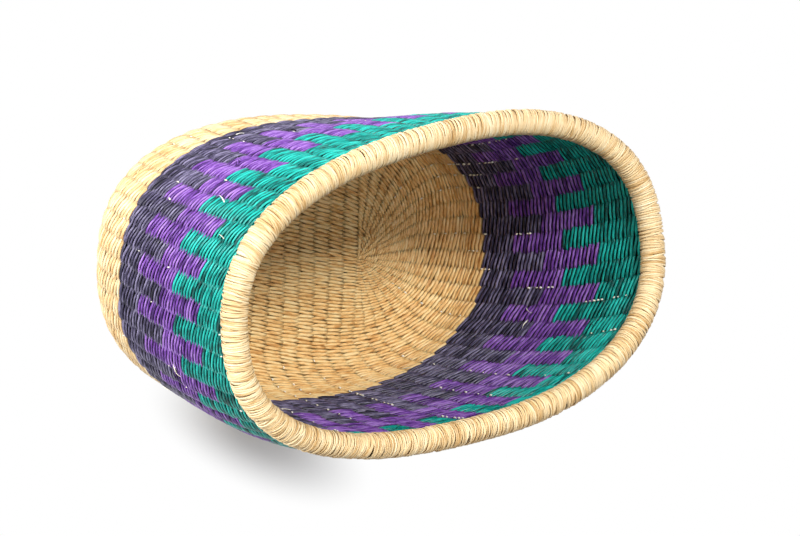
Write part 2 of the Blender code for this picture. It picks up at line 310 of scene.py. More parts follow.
    def rim_frame(self, column: np.ndarray) -> tuple[np.ndarray, np.ndarray, np.ndarray]:
        """The rim's centre line.

        Args:
            column: Columns, whole or not.

        Returns:
            The centres and the wall's outward and upward unit directions there, each as rows of x, y and z.
        """
        angle = self.column_angle(column)
        middle = np.full_like(angle, self.wall / 2)
        top = self.heel_radius + self.wall_rows * self.row_pitch
        low = top - self.rim_lead * self.row_pitch
        wall_top = self.shell_point(angle, np.full_like(angle, top), middle)
        upward = unit(wall_top - self.shell_point(angle, np.full_like(angle, low), middle))
        outward = self.shell_point(angle, np.full_like(angle, top), 0 * middle) - wall_top
        outward -= upward * np.sum(outward * upward, axis=-1, keepdims=True)
        return wall_top + upward * (self.rim_height - top), unit(outward), upward


# Nodes


class Wiring:
    """Short ways to add nodes to a tree and to join them."""

    def __init__(self, tree: bpy.types.NodeTree) -> None:
        """Take the tree."""
        self.tree = tree

    def feed(self, node: bpy.types.Node, inputs: dict[str | int, Any]) -> bpy.types.Node:
        """Set a node's inputs, or link those that are given a socket.

        Args:
            node: The node.
            inputs: A value or a socket for each input.

        Returns:
            The node.
        """
        for key, value in inputs.items():
            if isinstance(value, bpy.types.NodeSocket):
                self.tree.links.new(value, node.inputs[key])
            else:
                node.inputs[key].default_value = value
        return node

    def add(self, kind: str, inputs: dict[str | int, Any] | None = None, **settings: Any) -> bpy.types.Node:
        """Add a node.

        Args:
            kind: Its type.
            inputs: A value or a socket for each input that needs one.
            **settings: Its settings, made first, because they choose its inputs.

        Returns:
            The node.
        """
        node = self.tree.nodes.new(kind)
        for name, value in settings.items():
            setattr(node, name, value)
        return self.feed(node, inputs or {})

    def math(self, operation: str, *values: float | bpy.types.NodeSocket) -> bpy.types.NodeSocket:
        """The result of one sum on numbers and sockets."""
        return self.add("ShaderNodeMath", dict(enumerate(values)), operation=operation).outputs[0]

    def map_range(
        self, value: bpy.types.NodeSocket, smooth: bool = False, **ends: float
    ) -> bpy.types.NodeSocket:
        """A value brought from one range to another.

        Args:
            value: The value.
            smooth: Whether it eases in and out.
            **ends: The ends that aren't 0 and 1, such as from_min.

        Returns:
            The result.
        """
        inputs = {key.replace("_", " ").title(): end for key, end in ends.items()}
        kind = "SMOOTHSTEP" if smooth else "LINEAR"
        node = self.add("ShaderNodeMapRange", {"Value": value} | inputs, interpolation_type=kind)
        return node.outputs["Result"]


# Finishes


@dataclass(frozen=True)
class StrawFinish:
    """Split and twisted straw, dyed or plain: fibres along each strand, unlike tones, and painted shade down
    each strand's sides and at its ends.
    """

    name: str
    colour: tuple[float, float, float]
    light: tuple[float, float, float]
    dark: tuple[float, float, float]
    tone_spread: float = 0.16
    patch_spread: float = 0.05
    whole_spread: float = 1.04
    # side_shade and end_shade set the painted shade: how dark a strand's sides and its diving ends are
    # painted.
    side_shade: float = 0.10
    side_unshaded_from: float = 0.92
    end_shade: float = 0.70
    end_span: tuple[float, float] = (0.50, 0.92)
    stops: tuple[float, float, float] = (0.38, 0.50, 0.66)
    roughness: tuple[float, float] = (0.46, 0.22)
    specular: float = 0.28
    fibre_stretch: tuple[float, float, float] = (2.2, 5.0, 1.0)
    fibre_bump: float = 0.35
    fibre_depth: float = 0.0004
    patch_scale: float = 55.0
    strand_stride: float = 91.0
    crown: float = 0.16

    def _painted_crevice_shade(self, wiring: Wiring, uv: bpy.types.NodeSocket) -> bpy.types.NodeSocket:
        """Painted shade on each spot of a strand, standing in for the shade in the crevices between strands.

        Args:
            wiring: The material's nodes.
            uv: The strand's UV map.

        Returns:
            A share that the colour is multiplied by: 1 on the strand's crown, and less down its sides and
                where it dives at its ends, as painted shade.
        """
        split = wiring.add("ShaderNodeSeparateXYZ", {0: uv})
        turn = wiring.math("MULTIPLY_ADD", split.outputs["Y"], 2 * math.pi, -2 * math.pi * self.crown)
        crown = wiring.math("COSINE", turn)
        side = wiring.map_range(crown, smooth=True, from_max=self.side_unshaded_from, to_min=self.side_shade)
        reach = wiring.math("ABSOLUTE", wiring.math("MULTIPLY_ADD", split.outputs["X"], 2.0, -1.0))
        start, stop = self.end_span
        end = wiring.map_range(
            reach, smooth=True, from_min=start, from_max=stop, to_min=1.0, to_max=self.end_shade
        )
        return wiring.math("MULTIPLY", side, end)

    def build(self) -> bpy.types.Material:
        """Build the node material.

        Returns:
            The material, which reads the piece's UV map and its "tone" attribute.
        """
        material = bpy.data.materials.new(self.name)
        material.use_nodes = True
        wiring = Wiring(material.node_tree)
        tone = wiring.add("ShaderNodeAttribute", attribute_name="tone").outputs["Fac"]
        uv = wiring.add("ShaderNodeUVMap", uv_map="UVMap").outputs["UV"]
        stride = wiring.math("MULTIPLY", tone, self.strand_stride)
        apart = wiring.add("ShaderNodeCombineXYZ", {"X": stride, "Y": stride, "Z": stride}).outputs[0]
        drawn = wiring.add(
            "ShaderNodeVectorMath", {0: uv, 1: self.fibre_stretch, 2: apart}, operation="MULTIPLY_ADD"
        ).outputs[0]
        fine = {"Vector": drawn, "Scale": 1.0, "Detail": 3.0, "Roughness": 0.6}
        fibre = wiring.add("ShaderNodeTexNoise", fine).outputs["Fac"]
        place = wiring.add("ShaderNodeTexCoord").outputs["Object"]
        patchy = {"Vector": place, "Scale": self.patch_scale, "Detail": 2.0}
        patch = wiring.add("ShaderNodeTexNoise", patchy).outputs["Fac"]
        fibre_spread = self.whole_spread - self.tone_spread - self.patch_spread
        blend = wiring.math("MULTIPLY", tone, self.tone_spread)
        blend = wiring.math("MULTIPLY_ADD", patch, self.patch_spread, blend)
        blend = wiring.math("MULTIPLY_ADD", fibre, fibre_spread, blend)
        ramp = wiring.add("ShaderNodeValToRGB", {"Fac": blend})
        ramp.color_ramp.elements.new(self.stops[1])
        colours = (self.dark, self.colour, self.light)
        for element, position, colour in zip(ramp.color_ramp.elements, self.stops, colours):
            element.position = position
            element.color = (*colour, 1)
        # The colour is multiplied by painted shade, darker down each strand's sides and at its ends.
        colour_with_painted_shade = wiring.add(
            "ShaderNodeMix",
            {"Factor": 1.0, "A": ramp.outputs["Color"], "B": self._painted_crevice_shade(wiring, uv)},
            data_type="RGBA",
            blend_type="MULTIPLY",
        )
        rough, smooth = self.roughness
        bump = wiring.add(
            "ShaderNodeBump", {"Strength": self.fibre_bump, "Distance": self.fibre_depth, "Height": fibre}
        )
        wiring.feed(
            material.node_tree.nodes["Principled BSDF"],
            {
                "Base Color": colour_with_painted_shade.outputs["Result"],
                "Roughness": wiring.map_range(fibre, to_min=rough, to_max=smooth),
                "Specular IOR Level": self.specular,
                "Normal": bump.outputs["Normal"],
            },
        )
        return material


FINISHES: dict[Dye, StrawFinish] = {
    Dye.NATURAL: StrawFinish(
        "natural_straw",
        (0.89, 0.57, 0.23),
        (0.96, 0.74, 0.38),
        (0.63, 0.32, 0.10),
        tone_spread=0.12,
        patch_spread=0.14,
        side_shade=0.50,
        end_shade=0.74,
    ),
    Dye.BLEACHED: StrawFinish(
        "bleached_straw",
        (0.88, 0.62, 0.31),
        (0.95, 0.78, 0.49),
        (0.66, 0.39, 0.15),
        tone_spread=0.16,
        patch_spread=0.12,
        side_shade=0.50,
        end_shade=0.65,
    ),
    Dye.NAVY: StrawFinish(
        "navy_dyed_straw", (0.064, 0.053, 0.112), (0.26, 0.23, 0.37), (0.014, 0.012, 0.026)
    ),
    Dye.PURPLE: StrawFinish(
        "purple_dyed_straw", (0.200, 0.062, 0.410), (0.42, 0.22, 0.67), (0.055, 0.016, 0.13)
    ),
    Dye.TEAL: StrawFinish(
        "teal_dyed_straw", (0.001, 0.330, 0.280), (0.02, 0.60, 0.51), (0.001, 0.075, 0.068)
    ),
    Dye.RIM: StrawFinish(
        "rim_binding_straw",
        (0.84, 0.61, 0.32),
        (0.94, 0.79, 0.52),
        (0.56, 0.33, 0.12),
        patch_spread=0.24,
        side_shade=0.90,
        end_shade=1.0,
    ),
    Dye.STAKE: StrawFinish(
        "stake_bundle_straw", (0.60, 0.42, 0.20), (0.74, 0.56, 0.32), (0.36, 0.21, 0.08), end_shade=1.0
    ),
    # Near-white straw for the bare specks outside and the bare loose ends; inside, the same specks are
    # painted light shining through pinholes.
    Dye.SPECK: StrawFinish(
        "bare_stake_straw",
        (0.97, 0.91, 0.76),
        (0.98, 0.96, 0.90),
        (0.92, 0.80, 0.58),
        side_shade=0.95,
        end_shade=1.0,
    ),
}


class FinishShelf:
    """Builds each finish once and hands it out."""

    def __init__(self) -> None:
        """Start with no finish built."""
        self._built: dict[Dye, bpy.types.Material] = {}

    def material(self, dye: Dye) -> bpy.types.Material:
        """Hand out a finish, built at its first use.

        Args:
            dye: The straw.

        Returns:
            Its material.
        """
        if dye not in self._built:
            self._built[dye] = FINISHES[dye].build()
        return self._built[dye]


# Strands by Geometry Nodes


@dataclass
class StrandSpots:
    """Where repeated strands sit: their places, turns and sizes, gathered before they are made."""

    places: list[np.ndarray] = field(default_factory=list)
    turns: list[np.ndarray] = field(default_factory=list)
    sizes: list[np.ndarray] = field(default_factory=list)

    def add(self, place: np.ndarray, along: np.ndarray, up: np.ndarray, size: np.ndarray) -> None:
        """Add one strand or several.

        Args:
            place: Their middles, as rows.
            along: Directions along them.
            up: Directions across them, in the surface.
            size: Their length, breadth and thickness.
        """
        place, along, up, size = (np.atleast_2d(value) for value in (place, along, up, size))
        along = unit(along)
        face = unit(np.cross(along, up))
        across = np.cross(face, along)
        for spot, x, y, z, scale in zip(place, along, across, face, size):
            turn = Matrix((x, y, z)).transposed().to_euler("XYZ")
            self.places.append(spot)
            self.turns.append(np.array(turn))
            self.sizes.append(scale)

    def mesh(self, name: str) -> bpy.types.Mesh:
        """Gather the spots in a mesh.

        Args:
            name: The mesh's name.

        Returns:
            A mesh of loose points that carry "turn" and "size".
        """
        mesh = bpy.data.meshes.new(name)
        mesh.vertices.add(len(self.places))
        mesh.vertices.foreach_set("co", np.array(self.places, dtype=np.float32).ravel())
        for key, values in (("turn", self.turns), ("size", self.sizes)):
            layer = mesh.attributes.new(key, "FLOAT_VECTOR", "POINT")
            layer.data.foreach_set("vector", np.array(values, dtype=np.float32).ravel())
        mesh.update()
        return mesh


TREE_INPUTS: dict[str, str] = {
    "Geometry": "NodeSocketGeometry",
    "Shapes": "NodeSocketCollection",
    "Straw": "NodeSocketMaterial",
    "Sway": "NodeSocketFloat",
    "Roll": "NodeSocketFloat",
    "Slip": "NodeSocketFloat",
    "Swell": "NodeSocketFloat",
    "Brightest Tone": "NodeSocketFloat",
    "Seed": "NodeSocketInt",
}


@dataclass
class StrandMaker:
    """A Geometry Nodes tree that sets one of several strand shapes on each spot, with a little disorder."""

    name: str
    shapes: bpy.types.Collection
    sway: float = 0.070
    roll: float = 0.10
    slip: float = 0.00022
    swell: float = 0.08
    brightest_tone: float = 1.0
    last_pick: int = 99
    tree: bpy.types.NodeTree = field(init=False)

    def __post_init__(self) -> None:
        """Build the tree with its named inputs."""
        self.tree = bpy.data.node_groups.new(self.name, "GeometryNodeTree")
        for label, kind in TREE_INPUTS.items():
            self.tree.interface.new_socket(label, in_out="INPUT", socket_type=kind)
        self.tree.interface.new_socket("Geometry", in_out="OUTPUT", socket_type="NodeSocketGeometry")
        wiring = Wiring(self.tree)
        given = wiring.add("NodeGroupInput").outputs

        def chance(reach: str, stream: int) -> bpy.types.NodeSocket:
            """A random number for each spot.

            Args:
                reach: The named input that it lies between minus and plus of.
                stream: What is added to the seed, so that unlike numbers are drawn for unlike uses.

            Returns:
                The number.
            """
            seed = wiring.add("FunctionNodeIntegerMath", {0: given["Seed"], 1: stream}).outputs[0]
            low = wiring.math("MULTIPLY", given[reach], -1.0)
            pick = {2: low, 3: given[reach], "Seed": seed}
            return wiring.add("FunctionNodeRandomValue", pick, data_type="FLOAT").outputs[1]

        def vector(**parts: bpy.types.NodeSocket) -> bpy.types.NodeSocket:
            """A vector from the numbers for its X, Y and Z."""
            return wiring.add("ShaderNodeCombineXYZ", parts).outputs[0]

        def local(
            kind: str, instances: bpy.types.NodeSocket, key: str, value: bpy.types.NodeSocket
        ) -> bpy.types.NodeSocket:
            """The instances, moved, turned or scaled by a vector in their own space."""
            return wiring.add(kind, {"Instances": instances, key: value, "Local Space": True}).outputs[0]

        def carried(key: str) -> bpy.types.NodeSocket:
            """What each spot carries under a name."""
            return wiring.add(
                "GeometryNodeInputNamedAttribute", {"Name": key}, data_type="FLOAT_VECTOR"
            ).outputs["Attribute"]

        shapes = wiring.add(
            "GeometryNodeCollectionInfo",
            {"Collection": given["Shapes"], "Separate Children": True, "Reset Children": True},
        )
        # A number past the last shape starts again from the first one.
        pick = {4: 0, 5: self.last_pick, "Seed": given["Seed"]}
        shape = wiring.add("FunctionNodeRandomValue", pick, data_type="INT")
        strands = wiring.add(
            "GeometryNodeInstanceOnPoints",
            {
                "Points": given["Geometry"],
                "Instance": shapes.outputs[0],
                "Pick Instance": True,
                "Instance Index": shape.outputs[2],
                "Rotation": wiring.add("FunctionNodeEulerToRotation", {0: carried("turn")}).outputs[0],
                "Scale": carried("size"),
            },
        ).outputs[0]
        slipped = vector(Y=chance("Slip", stream=11), Z=chance("Slip", stream=12))
        strands = local("GeometryNodeTranslateInstances", strands, "Translation", slipped)
        bent = vector(X=chance("Roll", stream=13), Z=chance("Sway", stream=14))
        strands = local("GeometryNodeRotateInstances", strands, "Rotation", bent)
        grown = wiring.math("ADD", chance("Swell", stream=15), 1.0)
        strands = local("GeometryNodeScaleInstances", strands, "Scale", vector(X=grown, Y=grown, Z=grown))
        tones = {3: given["Brightest Tone"], "Seed": given["Seed"]}
        shade = wiring.add("FunctionNodeRandomValue", tones, data_type="FLOAT")
        toned = wiring.add(
            "GeometryNodeStoreNamedAttribute",
            {"Geometry": strands, "Name": "tone", "Value": shade.outputs[1]},
            data_type="FLOAT",
            domain="INSTANCE",
        )
        real = wiring.add("GeometryNodeRealizeInstances", {0: toned.outputs[0]}).outputs[0]
        dressed = wiring.add("GeometryNodeSetMaterial", {"Geometry": real, "Material": given["Straw"]})
        wiring.add("NodeGroupOutput", {0: dressed.outputs[0]})

    def make(self, name: str, spots: StrandSpots, straw: bpy.types.Material, seed: int) -> bpy.types.Object:
        """Make one piece of strands.

        Args:
            name: The piece's name.
            spots: Where the strands sit.
            straw: Their material.
            seed: The seed of their disorder.

        Returns:
            The piece, a plain mesh object at the origin.
        """
        holder = put(name + "_spots", spots.mesh(name + "_spots"))
        modifier = holder.modifiers.new("strands", "NODES")
        modifier.node_group = self.tree
        values = {
            "Shapes": self.shapes,
            "Straw": straw,
            "Sway": self.sway,
            "Roll": self.roll,
            "Slip": self.slip,
            "Swell": self.swell,
            "Brightest Tone": self.brightest_tone,
            "Seed": seed,
        }
        for item in self.tree.interface.items_tree:
            if item.item_type == "SOCKET" and item.in_out == "INPUT" and item.name in values:
                modifier[item.identifier] = values[item.name]
        graph = bpy.context.evaluated_depsgraph_get()
        made = holder.evaluated_get(graph)
        mesh = bpy.data.meshes.new_from_object(made, preserve_all_data_layers=True, depsgraph=graph)
        holder.modifiers.remove(modifier)
        old = holder.data
        bpy.data.objects.remove(holder)
        bpy.data.meshes.remove(old)
        mesh.name = name
        log.info("%s: %d strands, %d faces", name, len(spots.places), len(mesh.polygons))
        return put(name, mesh)


FACE_UP = np.array([0.0, 0.0, 1.0])


def tube_mesh(
    name: str, path: np.ndarray, faces: np.ndarray, halves: np.ndarray, sides: int
) -> bpy.types.Mesh:
    """A closed tube with an oval section.

    Args:
        name: The mesh's name.
        path: The points of its middle line, as rows.
        faces: The direction of the section's thickness, at each point or for all of them.
        halves: Half of the breadth and half of the thickness, at each point or for all of them.
        sides: The sides of the section.

    Returns:
        The mesh, with a UV map whose U runs along the tube and V round it.
    """
    tube = bmesh.new()
    layer = tube.loops.layers.uv.new("UVMap")
    ways = unit(np.gradient(path, axis=0))
    faces = np.broadcast_to(faces, path.shape)
    halves = np.broadcast_to(halves, (len(path), 2))
    turns = [2 * math.pi * (side + 0.5) / sides for side in range(sides)]
    rings = []
    for point, way, face, (breadth, thickness) in zip(path, ways, faces, halves):
        face = unit(face - way * (face @ way))
        across = np.cross(face, way)
        offsets = [across * breadth * math.cos(turn) + face * thickness * math.sin(turn) for turn in turns]
        rings.append([tube.verts.new(point + offset) for offset in offsets])
    last = len(rings) - 1
    for step in range(last):
        for side in range(sides):
            corners = ((step, side), (step + 1, side), (step + 1, side + 1), (step, side + 1))
            quad = tube.faces.new([rings[along][around % sides] for along, around in corners])
            quad.smooth = True
            for loop, (along, around) in zip(quad.loops, corners):
                loop[layer].uv = (along / last, around / sides)
    tube.faces.new(rings[0])
    tube.faces.new(list(reversed(rings[-1])))
    bmesh.ops.recalc_face_normals(tube, faces=tube.faces)
    mesh = bpy.data.meshes.new(name)
    tube.to_mesh(mesh)
    tube.free()
    return mesh


def shape_collection(name: str, meshes: list[bpy.types.Mesh]) -> bpy.types.Collection:
    """Keep strand shapes for a tree to pick from.

    Args:
        name: The collection's name.
        meshes: The shapes.

    Returns:
        A collection that stays out of the scene.
    """
    collection = bpy.data.collections.new(name)
    for mesh in meshes:
        collection.objects.link(bpy.data.objects.new(mesh.name, mesh))
    return collection


# The twined weave


@dataclass(frozen=True)
class StitchKind:
    """A kind of stitch: its usual size and dive, its slant in rows, how full it is and how far it reaches."""

    length: float
    height: float
    dive: float
    slant: float
    fullness: float
    end_fullness: float
    overlap: float = 1.16


class Stitch(Enum):
    """The kinds of stitch."""

    OUTSIDE = StitchKind(0.0120, 0.0033, 0.0009, 0.72, 0.33, 0.31)
    INSIDE = StitchKind(0.0115, 0.0033, 0.0002, 0.45, 0.36, 0.36, 1.20)
    HEEL = StitchKind(0.0115, 0.0029, 0.0008, 0.72, 0.48, 0.34)
    BEND = StitchKind(0.0100, 0.0027, 0.0004, 0.43, 0.52, 0.34, 1.22)
    BASE = StitchKind(0.0090, 0.00205, 0.00020, 0.40, 0.54, 0.29, 1.27)
    EDGE = StitchKind(0.0115, 0.0033, 0.0008, 0.34, 0.48, 0.42)


@dataclass
class Twining:
    """The two-strand twining of the base, the heel and the wall, one stitch to a stake on each face."""

    form: BasketForm
    shelf: FinishShelf
    stitch_steps: int = 8
    stitch_sides: int = 6
    shapes: int = 4
    bed: float = 0.0007
    thickness: float = 0.00115
    straightness: float = 0.6
    dive_power: float = 2.2
    steepest_dive: float = 0.25
    narrow_power: float = 2.4
    end_thinning: float = 0.25
    thickness_play: float = 0.05
    wobble: float = 0.04
    unevenness: float = 0.02
    base_tilt: float = math.radians(18)
    fan_radii: tuple[float, float, float] = (0.017, 0.008, 0.004)
    innermost_parts: int = 3
    seam_lift: float = 0.15
    navy_lean: float = 1.3
    navy_lean_column: float = 8.0
    block_fall: float = 1.9
    block_fall_column: float = 43.0
    seam_column: int = -3
    navy_tops: tuple[int, int] = (13, 21)
    purple_tops: tuple[int, int] = (26, 35)
    plain_top: float = 4.2
    middle_half_thickness: float = 0.0006
    middle_half_length: float = 0.62
    middle_fullness: float = 0.60
    # The middles are real crossings, but their brightest tone is held low so that they show as painted shade
    # in the gaps between the stitches.
    middle_painted_shade_tone: float = 0.12
    shape_seed: int = 40
    stitch_seed: int = 300
    middle_seed: int = 400
    makers: dict[Stitch, StrandMaker] = field(init=False)
    middle_maker: StrandMaker = field(init=False)

    def __post_init__(self) -> None:
        """Make the stitch shapes and the tree that sets them."""
        self.makers = {}
        for stitch in Stitch:
            meshes = [self._stitch_shape(index, stitch) for index in range(self.shapes)]
            name = stitch.name.lower()
            shapes = shape_collection(f"{name}_stitch_shapes", meshes)
            self.makers[stitch] = StrandMaker(f"{name}_stitches", shapes)
        turn = np.linspace(-self.middle_half_length, self.middle_half_length, 3)
        path = np.stack([turn, 0 * turn, 0 * turn], axis=1)
        halves = np.array([self.middle_fullness, 1.0])
        shapes = shape_collection("middle_shapes", [tube_mesh("middle_shape", path, FACE_UP, halves, 4)])
        # The low brightest tone darkens the middles: painted shade in the gaps.
        self.middle_maker = StrandMaker("twining_middles", shapes, brightest_tone=self.middle_painted_shade_tone)

    def _stitch_shape(self, index: int, stitch: Stitch) -> bpy.types.Mesh:
        """One stitch, which falls to the right as it passes a stake.

        Args:
            index: Which of the kind's shapes it is.
            stitch: The kind of stitch.

        Returns:
            Its mesh, a column wide, a row high and one dive deep.
        """
        kind = stitch.value
        chance = np.random.default_rng(self.shape_seed + index)
        turn = np.linspace(-kind.overlap, kind.overlap, self.stitch_steps + 1)
        fall = self.straightness * turn + (1 - self.straightness) * np.sin(turn * math.pi / 2)
        path = np.stack([turn / 2, -fall * kind.slant, -np.abs(turn) ** self.dive_power], axis=1)
        path[:, 1] += chance.uniform(-self.wobble, self.wobble, len(turn))
        narrowing = np.abs(turn / kind.overlap) ** self.narrow_power
        breadth = kind.fullness + (kind.end_fullness - kind.fullness) * narrowing
        breadth += chance.uniform(-self.unevenness, self.unevenness, len(turn))
        play = chance.uniform(1 - self.thickness_play, 1 + self.thickness_play, len(turn))
        thickness = self.thickness * (1 - self.end_thinning * narrowing) * play
        # The strand is rounded at a usual stitch's size, and then brought back to shares of it.
        usual = np.array([kind.length, kind.height, kind.dive])
        halves = np.stack([breadth * kind.height, thickness], axis=1)
        name = f"{stitch.name.lower()}_stitch_{index}"
        mesh = tube_mesh(name, path * usual, FACE_UP, halves, self.stitch_sides)
        mesh.transform(Matrix.Diagonal((*(1 / usual), 1.0)))
        return mesh

    def _plain_top(self, column: float) -> float:
        """The row up to which a column is plain. The edge leans, so that it's higher on one side."""
        turn = 2 * math.pi / self.form.columns
        return self.plain_top + self.navy_lean * math.cos(turn * (column - self.navy_lean_column))

    def _stitch(self, column: int, row: int, dye: Dye, face: Face) -> Stitch:
        """The kind of stitch of a spot. Those along the edge of the plain straw lie nearly level.

        Args:
            column: The stake that it passes.
            row: Its row.
            dye: Its straw.
            face: Its face of the wall.

        Returns:
            The kind.
        """
        if face is Face.OUTSIDE and -1 <= row - self._plain_top(column) < 1:
            return Stitch.EDGE
        if dye not in (Dye.NATURAL, Dye.BLEACHED):
            return Stitch[face.name]
        if row < -self.form.heel_rows:
            return Stitch.BASE
        return Stitch.HEEL if face is Face.OUTSIDE else Stitch.BEND

    def straw(self, column: int, row: int, face: Face) -> Dye:
        """The straw of a stitch. Each colour steps up on every second stake, and inside on the others.

        Args:
            column: The stake that it passes.
            row: Its row.
            face: Its face of the wall.

        Returns:
            The straw.
        """
        early = (column % 2 == 0) == (face is Face.OUTSIDE)
        which = 0 if early else 1  # the lower or the higher of a band's two tops
        if row < self._plain_top(column):
            return Dye.BLEACHED if face is Face.OUTSIDE else Dye.NATURAL
        turn = 2 * math.pi * (column - self.block_fall_column) / self.form.columns
        fallen = row + self.block_fall * (0.5 + 0.5 * math.cos(turn))
        if fallen < self.navy_tops[which]:
            return Dye.NAVY
        return Dye.PURPLE if fallen < self.purple_tops[which] else Dye.TEAL

    def _columns(self, row: int) -> tuple[np.ndarray, np.ndarray]:
        """Where a row's stitches are. Near the ends of the centre line they merge.

        Args:
            row: The row.

        Returns:
            Their middles and their widths, in columns.
        """
        form = self.form
        half = form.columns // 2
        crossing = range(-form.side_reach, form.side_reach + 1)
        radius = form.base_reach(row - form.first_row + 0.5)
        halvings = (form.fan >> index for index, limit in enumerate(self.fan_radii) if radius > limit)
        parts = next(halvings, self.innermost_parts)
        width = form.fan / parts
        ends = [form.side_reach + 0.5 + (index + 0.5) * width for index in range(parts)]
        stitches = [(side + column, 1.0) for side in (0, half) for column in crossing]
        stitches += [(side + column, width) for side in (0, half) for column in ends]
        middles, widths = np.array(stitches).T
        return middles, widths

    def _climb(self, column: np.ndarray) -> np.ndarray:
        """How much higher than its row's middle each stitch lies, since the rows are one long spiral."""
        columns = self.form.columns
        return 0.5 - ((column - self.seam_column) % columns) / columns

    def _lay(
        self, column: np.ndarray, width: np.ndarray, row: int, depth: float, reach: float
    ) -> tuple[np.ndarray, ...]:
        """Where strands lie.

        Args:
            column: Their middles, in columns.
            width: Their widths, in columns.
            row: Their row.
            depth: How far they lie below the outer face.
            reach: How many rows up and down their height is measured over.

        Returns:
            Their middles, their directions along and up, their lengths and their heights.
        """
        form = self.form
        level = np.maximum(row + 0.5 + self._climb(column), form.first_row + self.seam_lift)
        length = np.linalg.norm(form.beside(column, level, depth, width / 2), axis=1)
        height = np.linalg.norm(form.above(column, level, depth, reach), axis=1) / (2 * reach)
        return *form.spot(column, level, depth), length, height

    def _stitch_row(self, row: int, face: Face) -> list[tuple[Dye, Stitch, tuple[np.ndarray, ...]]]:
        """The stitches of one row on one face.

        Args:
            row: The row.
            face: The face of the wall.

        Returns:
            Each stitch's straw and kind, with its place, its directions and its size.
        """
        form = self.form
        column, width = self._columns(row)
        kept = row + 0.5 + self._climb(column) > form.first_row - 0.5
        column, width = column[kept], width[kept]
        depth = self.bed if face is Face.OUTSIDE else form.wall - self.bed
        middle, along, up, length, height = self._lay(column, width, row, depth, 0.5)
        if face is Face.INSIDE:
            along = -along
            if row < -form.heel_rows:
                # On the floor each row lies on the edge of the one outside it, so it leans to the middle.
                up[:, 2] += np.linalg.norm(up, axis=1) * math.tan(self.base_tilt)
        made = []
        for index, stake in enumerate(np.rint(column).astype(int)):
            dye = self.straw(stake, row, face)
            stitch = self._stitch(stake, row, dye, face)
            dive = min(stitch.value.dive, self.steepest_dive * length[index])
            size = np.array([length[index], height[index], dive])
            made.append((dye, stitch, (middle[index], along[index], up[index], size)))
        return made

    def _middle_row(self, row: int) -> list[tuple[Dye, tuple[np.ndarray, ...]]]:
        """The crossings of one row in the middle of the wall, between its two faces.

        Args:
            row: The row.

        Returns:
            Each crossing's straw with its place, its directions and its size.
        """
        form = self.form
        column, width = self._columns(row)
        *where, length, height = self._lay(column + width / 2, width, row, form.wall / 2, form.near)
        size = np.stack([length, height, np.full_like(length, self.middle_half_thickness)], axis=1)
        stakes = np.rint(column).astype(int)
        return [(self.straw(stake, row, Face.INSIDE), spot) for stake, *spot in zip(stakes, *where, size)]

    def build(self) -> None:
        """Make the stitches of every row, a piece for each part of each face."""
        form = self.form
        groups: dict[tuple[str, Stitch, Dye], StrandSpots] = defaultdict(StrandSpots)
        middles: dict[Dye, StrandSpots] = defaultdict(StrandSpots)
        rows = range(form.first_row - 1, form.wall_rows + 1)
        for row in rows:
            for dye, spot in self._middle_row(row):
                middles[dye].add(*spot)
        for face in Face:
            for row in rows:
                for dye, stitch, spot in self._stitch_row(row, face):
                    part = dye.value
                    if dye in (Dye.NATURAL, Dye.BLEACHED):
                        part = "base" if row < -form.heel_rows else "heel"
                    edge = "_edge" if stitch is Stitch.EDGE else ""
                    groups[f"{part}_weave_{face.name.lower()}{edge}", stitch, dye].add(*spot)
        pieces = []
        for seed, ((name, stitch, dye), spots) in enumerate(groups.items(), self.stitch_seed):
            pieces.append((dye, self.makers[stitch].make(name, spots, self.shelf.material(dye), seed)))
        for seed, (dye, spots) in enumerate(middles.items(), self.middle_seed):
            straw = self.shelf.material(dye)
            pieces.append((dye, self.middle_maker.make(NODES[dye] + "_middle", spots, straw, seed)))
        for dye, piece in pieces:
            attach(piece, "root")
            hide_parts(NODES[dye])
            SLOTS[dye]


# The rim


